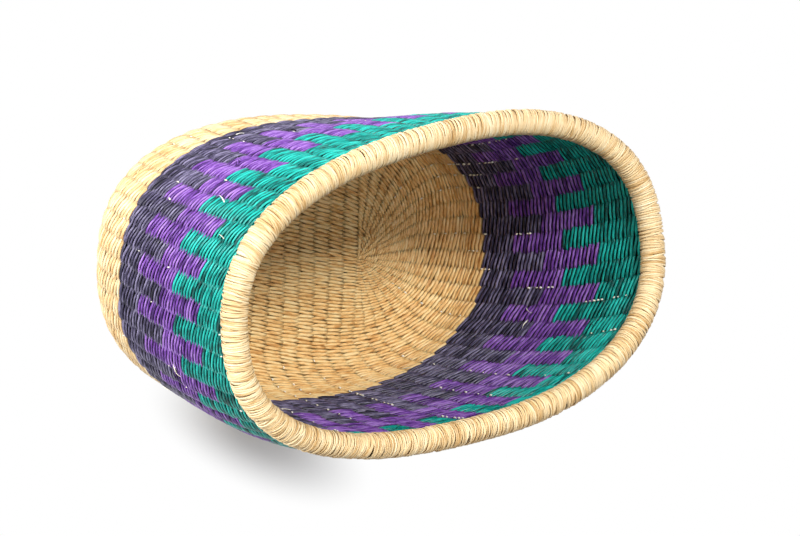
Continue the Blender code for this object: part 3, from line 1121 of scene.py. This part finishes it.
@dataclass
class Rim:
    """The thick rim: straw wound over a core, in bundles of a few strands."""

    form: BasketForm
    shelf: FinishShelf
    straw_pitch: float = 0.00112
    straw_half_width: float = 0.00070
    straw_half_thickness: float = 0.00036
    radius: float = 0.0070
    bed_pitch: float = 0.0017
    bed_swell: float = 0.905
    opening: float = math.radians(28)
    loop_steps: int = 12
    loop_sides: int = 5
    shapes: int = 3
    radius_play: float = 0.012
    width_play: float = 0.12
    drift: float = 0.0007
    drift_bend: float = 0.7
    drift_start: float = 0.6
    fewest: int = 2
    most: int = 4
    free_straws: int = 3
    lean: float = 0.11
    lean_play: float = 0.09
    lean_fan: float = 0.05
    straw_lean_play: float = 0.035
    crown: float = 0.024
    swell_play: float = 0.004
    bundle_gap: float = 0.00012
    bed_lean: float = -0.12
    shape_seed: int = 70
    seed: int = 5
    straw_seed: int = 900

    def _loop_shape(self, index: int) -> bpy.types.Mesh:
        """One straw round the core, open below, in the plane across the rim.

        Args:
            index: Which of the shapes it is.

        Returns:
            Its mesh.
        """
        chance = np.random.default_rng(self.shape_seed + index)
        turn = np.linspace(-math.pi + self.opening, math.pi - self.opening, self.loop_steps + 1)
        radius = self.radius * (1 + chance.uniform(-self.radius_play, self.radius_play, len(turn)))
        bend = np.sin(turn * self.drift_bend + chance.uniform(-self.drift_start, self.drift_start))
        drift = self.drift * bend * chance.uniform(-1, 1)
        path = np.stack([drift, radius * np.sin(turn), radius * np.cos(turn)], axis=1)
        faces = np.stack([0 * turn, np.sin(turn), np.cos(turn)], axis=1)
        play = chance.uniform(-self.width_play, self.width_play, (len(turn), 1))
        halves = np.array([self.straw_half_width, self.straw_half_thickness]) * (1 + play)
        return tube_mesh(f"rim_loop_{index}", path, faces, halves, self.loop_sides)

    def build(self) -> None:
        """Wind the straws round the rim, bundle by bundle."""
        form = self.form
        meshes = [self._loop_shape(index) for index in range(self.shapes)]
        shapes = shape_collection("rim_loop_shapes", meshes)
        maker = StrandMaker("rim_straws", shapes, sway=0.02, roll=0.05, slip=0.0001, swell=0.012)
        chance = np.random.default_rng(self.seed)
        fine = np.linspace(0, form.columns, 4 * form.columns + 1)
        centres, _, _ = form.rim_frame(fine)
        lengths = lengths_along(centres)
        stops, leans, swells = [], [], []
        reach = 0.0
        while reach < lengths[-1] - self.free_straws * self.straw_pitch:
            count = int(chance.integers(self.fewest, self.most + 1))
            lean = chance.normal(self.lean, self.lean_play)
            swell = chance.uniform(0.0, 1.0)
            for index in range(count):
                crown = math.sin(math.pi * (index + 0.5) / count)
                stops.append(reach + (index + 0.5) * self.straw_pitch)
                fan = self.lean_fan * (index - (count - 1) / 2)
                leans.append(lean + fan + chance.normal(0, self.straw_lean_play))
                swells.append(1 + self.crown * crown * swell + chance.normal(0, self.swell_play))
            reach += count * self.straw_pitch + abs(chance.normal(0, self.bundle_gap))
        bed = np.arange(0, lengths[-1], self.bed_pitch)
        layers = {
            "rim_binding": (np.array(stops), np.array(leans), np.array(swells), np.ones(len(stops))),
            "rim_binding_bed": (
                bed,
                np.full_like(bed, self.bed_lean),
                np.full_like(bed, self.bed_swell),
                np.full_like(bed, self.bed_pitch / self.straw_pitch),
            ),
        }
        for seed, (name, (stop, lean, swell, breadth)) in enumerate(layers.items(), self.straw_seed):
            column = np.interp(stop, lengths, fine)
            centre, outward, upward = form.rim_frame(column)
            along = np.cross(upward, outward)
            lean = lean[:, None]
            slanted = along * np.cos(lean) + outward * np.sin(lean)
            across = outward * np.cos(lean) - along * np.sin(lean)
            spots = StrandSpots()
            spots.add(centre, slanted, -across, np.stack([breadth, swell, swell], axis=1))
            piece = maker.make(name, spots, self.shelf.material(Dye.RIM), seed)
            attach(piece, "root")
            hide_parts("rim_wrap")
            SLOTS[Dye.RIM]


# Stakes and core


@dataclass
class Skeleton:
    """The stakes, each a bundle of straw inside the weave, and the rim's core."""

    form: BasketForm
    shelf: FinishShelf
    half_width: float = 0.0015
    half_thickness: float = 0.0012
    row_step: float = 2.0
    fan_starts: tuple[int, int] = (8, 15)
    sides: int = 6
    thinnest: float = 0.92

    def _columns(self) -> dict[str, tuple[float, float | None]]:
        """Name the stakes.

        Returns:
            Each stake's column and, where it crosses the base, the column that it runs up on the other side.
        """
        form = self.form
        half, reach = form.columns // 2, form.side_reach
        stakes: dict[str, tuple[float, float | None]] = {
            f"crossing_stake_{reach + 1 + column:02d}": (column, half - column)
            for column in range(-reach, reach + 1)
        }
        for side, last in (("left", reach), ("right", half + reach)):
            stakes |= {f"{side}_stake_{index:02d}": (last + index, None) for index in range(1, form.fan + 1)}
        return stakes

    def _path(self, index: int, column: float, other: float | None) -> np.ndarray:
        """A stake's middle line.

        Args:
            index: Its number, because every second fan stake starts further out.
            column: The column that it runs up.
            other: The column on the other side, if it crosses the base.

        Returns:
            Its points, as rows.
        """
        form = self.form
        lowest = form.first_row + (0 if other is not None else self.fan_starts[index % 2])
        rows = np.arange(lowest, form.wall_rows + 0.5, self.row_step)
        rise = form.place(column, rows, form.wall / 2)
        if other is None:
            return rise
        return np.concatenate([form.place(other, rows[:0:-1], form.wall / 2), rise])

    def build(self) -> None:
        """Make every stake and dress the core."""
        form = self.form
        for index, (name, (column, other)) in enumerate(self._columns().items()):
            path = self._path(index + 1, column, other)
            chance = np.random.default_rng(index)
            foot = form.place(np.array([column, column + form.near]), 0.0, form.wall / 2)
            faces = np.cross(foot[1] - foot[0], unit(np.gradient(path, axis=0)))
            play = chance.uniform(self.thinnest, 1.0, (len(path), 1))
            halves = np.array([self.half_width, self.half_thickness]) * play
            mesh = tube_mesh(name + "_bundle", path, faces, halves, self.sides)
            mesh.materials.append(self.shelf.material(Dye.STAKE))
            stake = put(name + "_bundle", mesh)
            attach(stake, "root")
            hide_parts(name)
            SLOTS[Dye.STAKE]
        core = bpy.data.objects["rim_core"]
        for slot in core.material_slots:
            slot.material = self.shelf.material(Dye.STAKE)
        log.info("stakes: %d bundles", len(self._columns()))


# Specks and loose ends


@dataclass
class StrayStraw:
    """What spoils an even weave: bare specks of the stakes between the stitches outside, pale specks along
    the stakes inside that are painted light shining through pinholes in the weave, and loose ends of straw.
    """

    form: BasketForm
    shelf: FinishShelf
    twining: Twining
    outside_specks: int = 90
    pinhole_light_runs: int = 52
    loose_ends: int = 46
    outside_speck: tuple[float, float, float] = (0.0022, 0.0010, 0.0009)
    pinhole_light_speck: tuple[float, float, float] = (0.0015, 0.0011, 0.0011)
    end_size: tuple[float, float, float] = (0.0075, 0.0055, 0.0016)
    speck_play: tuple[float, float] = (0.6, 1.2)
    run_play: tuple[float, float] = (0.7, 1.3)
    outside_span: tuple[int, int] = (-8, -2)
    run_span: tuple[int, int] = (12, -8)
    run_steps: tuple[int, int] = (4, 17)
    base_step: int = 3
    missing_share: float = 0.4
    bare_share: float = 0.3
    stand_off: float = 0.0003
    speck_shape: tuple[float, float, float] = (0.3, 0.5, 0.3)
    speck_sway: float = 0.25
    end_margin: int = 3
    end_bend: float = 0.45
    end_curl: float = 2.4
    end_dip: float = 0.35
    end_halves: tuple[float, float] = (0.07, 0.20)
    end_taper: tuple[float, float] = (0.7, 0.5)
    end_play: float = 0.2
    seed: int = 17
    speck_seed: int = 950
    end_seed: int = 960

    def _specks(self, chance: np.random.Generator) -> StrandSpots:
        """Scatter bare specks outside, and set pale specks in runs along the stakes inside, as painted light
        shining through pinholes in the weave.

        Args:
            chance: Where the random numbers come from.

        Returns:
            Their spots.
        """
        form = self.form
        spots = StrandSpots()
        low, high = self.outside_span
        for _ in range(self.outside_specks):
            column = chance.integers(0, form.columns) + 0.5
            place, along, up = form.spot(column, chance.uniform(low, form.wall_rows + high), self.stand_off)
            spots.add(place, up, -along, np.array(self.outside_speck) * chance.uniform(*self.speck_play))
        # Inside, the pale specks are painted light: they stand in for light shining through pinholes between
        # the stitches.
        low, high = self.run_span
        fewest, most = self.run_steps
        for _ in range(self.pinhole_light_runs):
            column = chance.integers(0, form.columns) + 0.5
            start = chance.uniform(form.first_row + low, form.wall_rows + high)
            for step in range(int(chance.integers(fewest, most + 1))):
                row = start + step * (1 if start > 0 else self.base_step)
                if row > form.wall_rows - 1 or chance.random() < self.missing_share:
                    continue
                place, along, up = form.spot(column, row, form.wall + self.stand_off)
                spots.add(place, up, along, np.array(self.pinhole_light_speck) * chance.uniform(*self.run_play))
        return spots

    def _loose(self, chance: np.random.Generator) -> dict[Dye, StrandSpots]:
        """Scatter loose ends of straw, which stand a little off the weave.

        Args:
            chance: Where the random numbers come from.

        Returns:
            Their spots, by their straw.
        """
        form = self.form
        groups: dict[Dye, StrandSpots] = defaultdict(StrandSpots)
        for index in range(self.loose_ends):
            face = Face.OUTSIDE if index % 2 else Face.INSIDE
            column = chance.uniform(0, form.columns)
            row = chance.uniform(0, form.wall_rows - self.end_margin)
            place, along, up = form.spot(column, row, 0.0 if face is Face.OUTSIDE else form.wall)
            bare = chance.random() < self.bare_share
            dye = Dye.SPECK if bare else self.twining.straw(int(round(column)), int(row), face)
            turn = chance.uniform(0, 2 * math.pi)
            along, up = unit(along), unit(up)
            way = along * math.cos(turn) + up * math.sin(turn)
            across = (up * math.cos(turn) - along * math.sin(turn)) * face.value
            groups[dye].add(place, way, across, np.array(self.end_size) * chance.uniform(*self.speck_play))
        return groups

    def build(self) -> None:
        """Make the specks and the loose ends."""
        chance = np.random.default_rng(self.seed)
        turn = np.linspace(-0.5, 0.5, 3)
        path = np.stack([turn, 0 * turn, 0 * turn], axis=1)
        speck = tube_mesh("speck_shape", path, FACE_UP, np.stack([self.speck_shape] * 2, axis=1), 5)
        specks = StrandMaker("stake_specks", shape_collection("speck_shapes", [speck]), sway=self.speck_sway)
        curl = np.linspace(0, 1, 6)
        path = np.stack([curl, self.end_bend * curl**2, np.sin(curl * self.end_curl) - self.end_dip], axis=1)
        halves = np.array(self.end_halves) * (1 - np.outer(curl, self.end_taper))
        loose = tube_mesh("loose_end_shape", path, FACE_UP, halves, 4)
        shapes = shape_collection("loose_end_shapes", [loose])
        ends = StrandMaker("loose_ends", shapes, sway=self.end_play, roll=self.end_play)
        straw = self.shelf.material(Dye.SPECK)
        pieces = [(Dye.SPECK, specks.make("stake_specks", self._specks(chance), straw, self.speck_seed))]
        for seed, (dye, spots) in enumerate(self._loose(chance).items(), self.end_seed):
            pieces.append((dye, ends.make(f"loose_ends_{dye.value}", spots, self.shelf.material(dye), seed)))
        for dye, piece in pieces:
            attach(piece, "root")
            SLOTS[dye]


# The studio


@dataclass(frozen=True)
class Lamp:
    """A soft square lamp: its name, its place, its size and its power."""

    name: str
    place: tuple[float, float, float]
    size: float
    power: float


@dataclass
class Studio:
    """The camera at the photograph's angle, soft lamps and a white floor."""

    camera_place: tuple[float, float, float] = (-1.0071, 0.3589, 1.5424)
    camera_axes: tuple[tuple[float, float, float], ...] = (
        (0.79800, -0.10069, 0.59419),
        (0.19975, 0.97440, -0.10315),
        (-0.56860, 0.20100, 0.79768),
    )
    focal_pixels: float = 3154.8
    picture_width: int = 800
    sensor_width: float = 36.0
    view_reach: float = 50.0
    lamps: tuple[Lamp, ...] = (
        Lamp("key_lamp", (-0.12, 1.00, 1.85), 0.32, 34.0),
        Lamp("side_lamp", (-2.0, 0.85, 0.30), 0.60, 47.0),
        Lamp("top_lamp", (-0.20, 0.10, 2.20), 0.60, 11.0),
    )
    lamp_target: tuple[float, float, float] = (0.0, 0.0, 0.08)
    room_light: float = 0.15
    floor_half: float = 4.0
    floor_white: float = 0.86
    shadow_middle: tuple[float, float, float] = (-0.021, -0.111, 0.0)
    shadow_turn: float = math.radians(-33.5)
    shadow_halves: tuple[float, float] = (0.092, 0.034)
    shadow_core: float = 0.1
    shadow_veil: float = 0.05

    def _camera(self) -> None:
        """Set the camera in the photograph's place."""
        data = bpy.data.cameras.new("camera")
        data.sensor_width = self.sensor_width
        data.lens = self.focal_pixels / self.picture_width * data.sensor_width
        data.clip_end = self.view_reach
        camera = put("camera", data)
        turn = Matrix(self.camera_axes).transposed().to_4x4()
        camera.matrix_world = Matrix.Translation(self.camera_place) @ turn
        bpy.context.scene.camera = camera

    def _light(self, lamp: Lamp) -> None:
        """Set one lamp, which faces the basket.

        Args:
            lamp: The lamp.
        """
        data = bpy.data.lights.new(lamp.name, "AREA")
        data.size = lamp.size
        data.energy = lamp.power
        light = put(lamp.name, data)
        light.location = lamp.place
        way = Vector(self.lamp_target) - Vector(lamp.place)
        light.rotation_euler = way.to_track_quat("-Z", "Y").to_euler()

    def _seen(self, wiring: Wiring) -> bpy.types.NodeSocket:
        """Tell the rays that show the white room: the camera's, and those off gloss or through glass.

        Args:
            wiring: The nodes of the floor's material or of the world.

        Returns:
            1 for those rays and 0 for the others.
        """
        path = wiring.add("ShaderNodeLightPath").outputs
        shine = wiring.math("MAXIMUM", path["Is Camera Ray"], path["Is Glossy Ray"])
        return wiring.math("MAXIMUM", shine, path["Is Transmission Ray"])

    def _floor(self) -> None:
        """Set the white floor, which looks white and keeps the basket's real shadow only inside a placed
        oval.
        """
        mesh = bpy.data.meshes.new("floor")
        half = self.floor_half
        corners = [(-half, -half, 0), (half, -half, 0), (half, half, 0), (-half, half, 0)]
        mesh.from_pydata(corners, [], [(0, 1, 2, 3)])
        floor = put("floor", mesh)
        material = bpy.data.materials.new("white_floor")
        material.use_nodes = True
        material.node_tree.nodes.clear()
        wiring = Wiring(material.node_tree)
        # Painted shadow extent: the basket's real shadow shows only inside a placed oval, and outside it the
        # floor glows white to the camera.
        place = wiring.add("ShaderNodeTexCoord").outputs["Object"]
        oval = wiring.add(
            "ShaderNodeMapping",
            {
                "Vector": place,
                "Location": self.shadow_middle,
                "Rotation": (0, 0, self.shadow_turn),
                "Scale": (*self.shadow_halves, 1),
            },
            vector_type="TEXTURE",
        )
        away = wiring.add("ShaderNodeVectorMath", {0: oval.outputs["Vector"]}, operation="LENGTH")
        white = wiring.map_range(
            away.outputs["Value"], smooth=True, from_min=self.shadow_core, to_min=self.shadow_veil
        )
        matt = wiring.add("ShaderNodeBsdfDiffuse", {"Color": (*[self.floor_white] * 3, 1)})
        glow = wiring.add("ShaderNodeEmission", {"Strength": 1.0})
        fac = wiring.math("MULTIPLY", self._seen(wiring), white)
        mix = wiring.add("ShaderNodeMixShader", {0: fac, 1: matt.outputs[0], 2: glow.outputs[0]})
        wiring.add("ShaderNodeOutputMaterial", {"Surface": mix.outputs[0]})
        mesh.materials.append(material)
        floor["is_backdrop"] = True

    def _world(self) -> None:
        """Set the even light of the room, and white behind the floor's edge."""
        world = bpy.data.worlds.new("room")
        bpy.context.scene.world = world
        world.use_nodes = True
        wiring = Wiring(world.node_tree)
        strength = wiring.map_range(self._seen(wiring), to_min=self.room_light)
        wiring.feed(world.node_tree.nodes["Background"], {"Color": (1, 1, 1, 1), "Strength": strength})

    def build(self) -> None:
        """Set the camera, the lamps, the floor and the world."""
        bpy.context.scene.view_settings.view_transform = "Standard"
        self._camera()
        for lamp in self.lamps:
            self._light(lamp)
        self._floor()
        self._world()


def main() -> None:
    """Build the basket's pieces in order, and report each."""
    logging.basicConfig(level=logging.INFO, format="%(name)s: %(message)s")
    form = BasketForm()
    shelf = FinishShelf()
    Studio().build()
    Skeleton(form, shelf).build()
    twining = Twining(form, shelf)
    twining.build()
    Rim(form, shelf).build()
    StrayStraw(form, shelf, twining).build()
    boxes = {"cad": CAD_BOX, "visual": [[float(value) for value in corner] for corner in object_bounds()]}
    log.info("CAD box %s, visual box %s", boxes["cad"], boxes["visual"])


if __name__ == "__main__":
    main()
